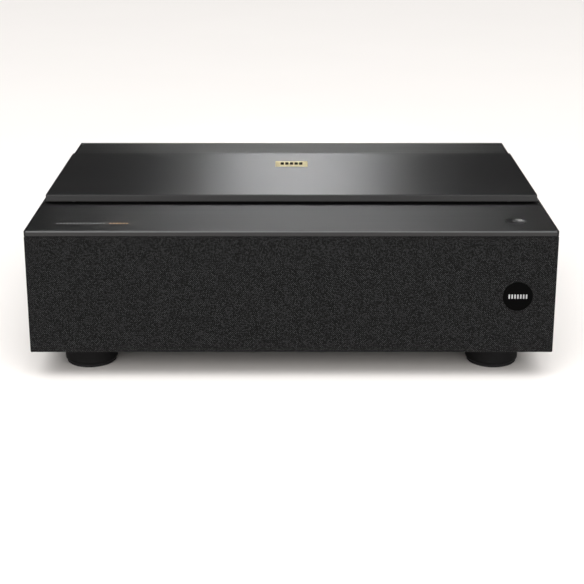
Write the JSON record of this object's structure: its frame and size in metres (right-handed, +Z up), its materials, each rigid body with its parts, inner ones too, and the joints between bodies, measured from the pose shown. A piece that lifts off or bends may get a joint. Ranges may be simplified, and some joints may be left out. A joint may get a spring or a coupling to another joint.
{
  "type": "home projector",
  "caption": "Ultra short throw home projector: low cloth-fronted box with brushed dark covers, a motorised lid that slides forwards off its lens well, and screw feet.",
  "frame": {"origin": "on the table under the middle of the body", "axes": "+X to the right as seen from the front, +Y towards the rear panel, +Z up; the grille faces -Y"},
  "size_m": [0.5, 0.388, 0.157],
  "materials": {
    "sheet_steel_black": "black powder coat",
    "brass": "turned",
    "case_plastic": "fine texture",
    "plate_steel": "satin",
    "inner_plastic": "matt",
    "speaker_cloth": "fine plain weave",
    "badge_black": "gloss",
    "brushed_dark_aluminium": "dark anodised, brushed along X",
    "deck_black": "matt",
    "satin_dark_aluminium": "dark anodised, satin",
    "well_black": "matt, light-trapping",
    "window_glass": "coated, clear",
    "sensor_plastic": "infrared filter, gloss",
    "zinc_steel": "zinc plated",
    "screw_steel": "black oxide",
    "inlet_plastic": "matt",
    "socket_metal": "bright nickel",
    "circuit_board": "solder resist",
    "supply_board": "phenolic board",
    "basket_steel": "satin",
    "cast_aluminium": "as cast",
    "fin_aluminium": "extruded",
    "laser_brass": "bright",
    "optic_glass": "polished",
    "barrel_plastic": "matt",
    "mirror_coat": "coated",
    "gear_plastic": "natural acetal",
    "gold_plate": "gold, satin",
    "button_aluminium": "dark anodised, spun",
    "phosphor": "phosphor coat",
    "rotor_plastic": "satin",
    "cone_paper": "pressed paper",
    "foot_plastic": "knurled",
    "pad_rubber": "matt"
  },
  "bodies": {
    "chassis": {"base_pan": "sheet_steel_black", "threaded_inserts": "brass", "left_side_panel": "case_plastic", "right_side_panel": "case_plastic", "rear_panel": "case_plastic", "io_plate": "plate_steel", "front_baffle": "inner_plastic", "grille_frame": "inner_plastic", "grille_cloth": "speaker_cloth", "badge_disc": "badge_black", "top_front_panel": "brushed_dark_aluminium", "top_deck": "deck_black", "rear_top_panel": "satin_dark_aluminium", "lens_well": "well_black", "well_window": "window_glass", "presence_sensors": "sensor_plastic", "lid_rails": "zinc_steel", "lid_motor": "zinc_steel", "case_screws": "screw_steel", "power_inlet": "inlet_plastic", "hdmi_sockets": "socket_metal", "usb_sockets": "socket_metal", "lan_socket": "socket_metal", "main_board": "circuit_board", "power_supply": "supply_board", "speaker_boxes": "inner_plastic", "driver_baskets": "basket_steel", "engine_housing": "cast_aluminium", "engine_cover": "cast_aluminium", "laser_heatsink": "fin_aluminium", "laser_module": "laser_brass", "relay_optics": "optic_glass", "dmd_board": "circuit_board", "wheel_motor": "basket_steel", "lens_barrel": "barrel_plastic", "aspheric_mirror": "mirror_coat", "intake_fan_frame": "inner_plastic", "exhaust_fan_frame": "inner_plastic"},
    "lid": {"lid_panel": "brushed_dark_aluminium", "lid_liner": "inner_plastic", "lid_rack": "gear_plastic", "lid_badge": "gold_plate"},
    "pinion": {"lid_pinion": "gear_plastic"},
    "button": {"power_button": "button_aluminium"},
    "focus_ring": {"focus_ring": "barrel_plastic"},
    "focus_cell": {"focus_cell": "barrel_plastic", "focus_lens": "optic_glass"},
    "phosphor_wheel": {"phosphor_wheel": "phosphor"},
    "intake_rotor": {"intake_fan_rotor": "rotor_plastic"},
    "exhaust_rotor": {"exhaust_fan_rotor": "rotor_plastic"},
    "left_cone": {"left_cone": "cone_paper"},
    "right_cone": {"right_cone": "cone_paper"},
    "front_left_foot_pad": {"front_left_foot_pad": "pad_rubber"},
    "front_left_foot": {"front_left_foot": "foot_plastic"},
    "front_right_foot_pad": {"front_right_foot_pad": "pad_rubber"},
    "front_right_foot": {"front_right_foot": "foot_plastic"},
    "rear_left_foot_pad": {"rear_left_foot_pad": "pad_rubber"},
    "rear_left_foot": {"rear_left_foot": "foot_plastic"},
    "rear_right_foot_pad": {"rear_right_foot_pad": "pad_rubber"},
    "rear_right_foot": {"rear_right_foot": "foot_plastic"}
  },
  "joints": [
    {"name": "lid_slide", "type": "slide", "parent": "chassis", "child": "lid", "axis": [0, -1, 0], "range_m": [0, 0.1]},
    {"name": "pinion_spin", "type": "hinge", "parent": "chassis", "child": "pinion", "pos_m": [0.199, -0.0228, 0.138], "axis": [0, 0, 1], "range_deg": [0, 720]},
    {"name": "power_press", "type": "slide", "parent": "chassis", "child": "button", "axis": [0, 0, -1], "range_m": [0, 0.0008], "stiffness_N_per_m": 800},
    {"name": "focus_turn", "type": "hinge", "parent": "chassis", "child": "focus_ring", "pos_m": [0, 0.0652, 0.088], "axis": [0, 1, 0], "range_deg": [-20, 20]},
    {"name": "focus_travel", "type": "slide", "parent": "chassis", "child": "focus_cell", "axis": [0, 1, 0], "range_m": [-0.0016, 0.0016]},
    {"name": "phosphor_spin", "type": "hinge", "parent": "chassis", "child": "phosphor_wheel", "pos_m": [-0.15, 0.134, 0.088], "axis": [1, 0, 0], "continuous": true},
    {"name": "intake_fan_spin", "type": "hinge", "parent": "chassis", "child": "intake_rotor", "pos_m": [-0.231, -0.02, 0.088], "axis": [1, 0, 0], "continuous": true},
    {"name": "exhaust_fan_spin", "type": "hinge", "parent": "chassis", "child": "exhaust_rotor", "pos_m": [0.231, -0.02, 0.088], "axis": [1, 0, 0], "continuous": true},
    {"name": "left_cone_travel", "type": "slide", "parent": "chassis", "child": "left_cone", "axis": [0, -1, 0], "range_m": [-0.0008, 0.0008], "stiffness_N_per_m": 2000},
    {"name": "right_cone_travel", "type": "slide", "parent": "chassis", "child": "right_cone", "axis": [0, -1, 0], "range_m": [-0.0008, 0.0008], "stiffness_N_per_m": 2000},
    {"name": "front_left_foot_height", "type": "slide", "parent": "chassis", "child": "front_left_foot_pad", "axis": [0, 0, -1], "range_m": [0, 0.008]},
    {"name": "front_left_foot_spin", "type": "hinge", "parent": "front_left_foot_pad", "child": "front_left_foot", "pos_m": [-0.1994, -0.1365, 0.015], "axis": [0, 0, 1], "range_deg": [0, 1918]},
    {"name": "front_right_foot_height", "type": "slide", "parent": "chassis", "child": "front_right_foot_pad", "axis": [0, 0, -1], "range_m": [0, 0.008]},
    {"name": "front_right_foot_spin", "type": "hinge", "parent": "front_right_foot_pad", "child": "front_right_foot", "pos_m": [0.1994, -0.1365, 0.015], "axis": [0, 0, 1], "range_deg": [0, 1918]},
    {"name": "rear_left_foot_height", "type": "slide", "parent": "chassis", "child": "rear_left_foot_pad", "axis": [0, 0, -1], "range_m": [0, 0.008]},
    {"name": "rear_left_foot_spin", "type": "hinge", "parent": "rear_left_foot_pad", "child": "rear_left_foot", "pos_m": [-0.1994, 0.1365, 0.015], "axis": [0, 0, 1], "range_deg": [0, 1918]},
    {"name": "rear_right_foot_height", "type": "slide", "parent": "chassis", "child": "rear_right_foot_pad", "axis": [0, 0, -1], "range_m": [0, 0.008]},
    {"name": "rear_right_foot_spin", "type": "hinge", "parent": "rear_right_foot_pad", "child": "rear_right_foot", "pos_m": [0.1994, 0.1365, 0.015], "axis": [0, 0, 1], "range_deg": [0, 1918]}
  ],
  "couplings": [
    {"joint": "pinion_spin", "follows": "lid_slide", "rad_per_m": 125},
    {"joint": "focus_travel", "follows": "focus_turn", "m_per_rad": 0.0045},
    {"joint": "front_left_foot_height", "follows": "front_left_foot_spin", "m_per_rad": 0.00023873},
    {"joint": "front_right_foot_height", "follows": "front_right_foot_spin", "m_per_rad": 0.00023873},
    {"joint": "rear_left_foot_height", "follows": "rear_left_foot_spin", "m_per_rad": 0.00023873},
    {"joint": "rear_right_foot_height", "follows": "rear_right_foot_spin", "m_per_rad": 0.00023873}
  ]
}
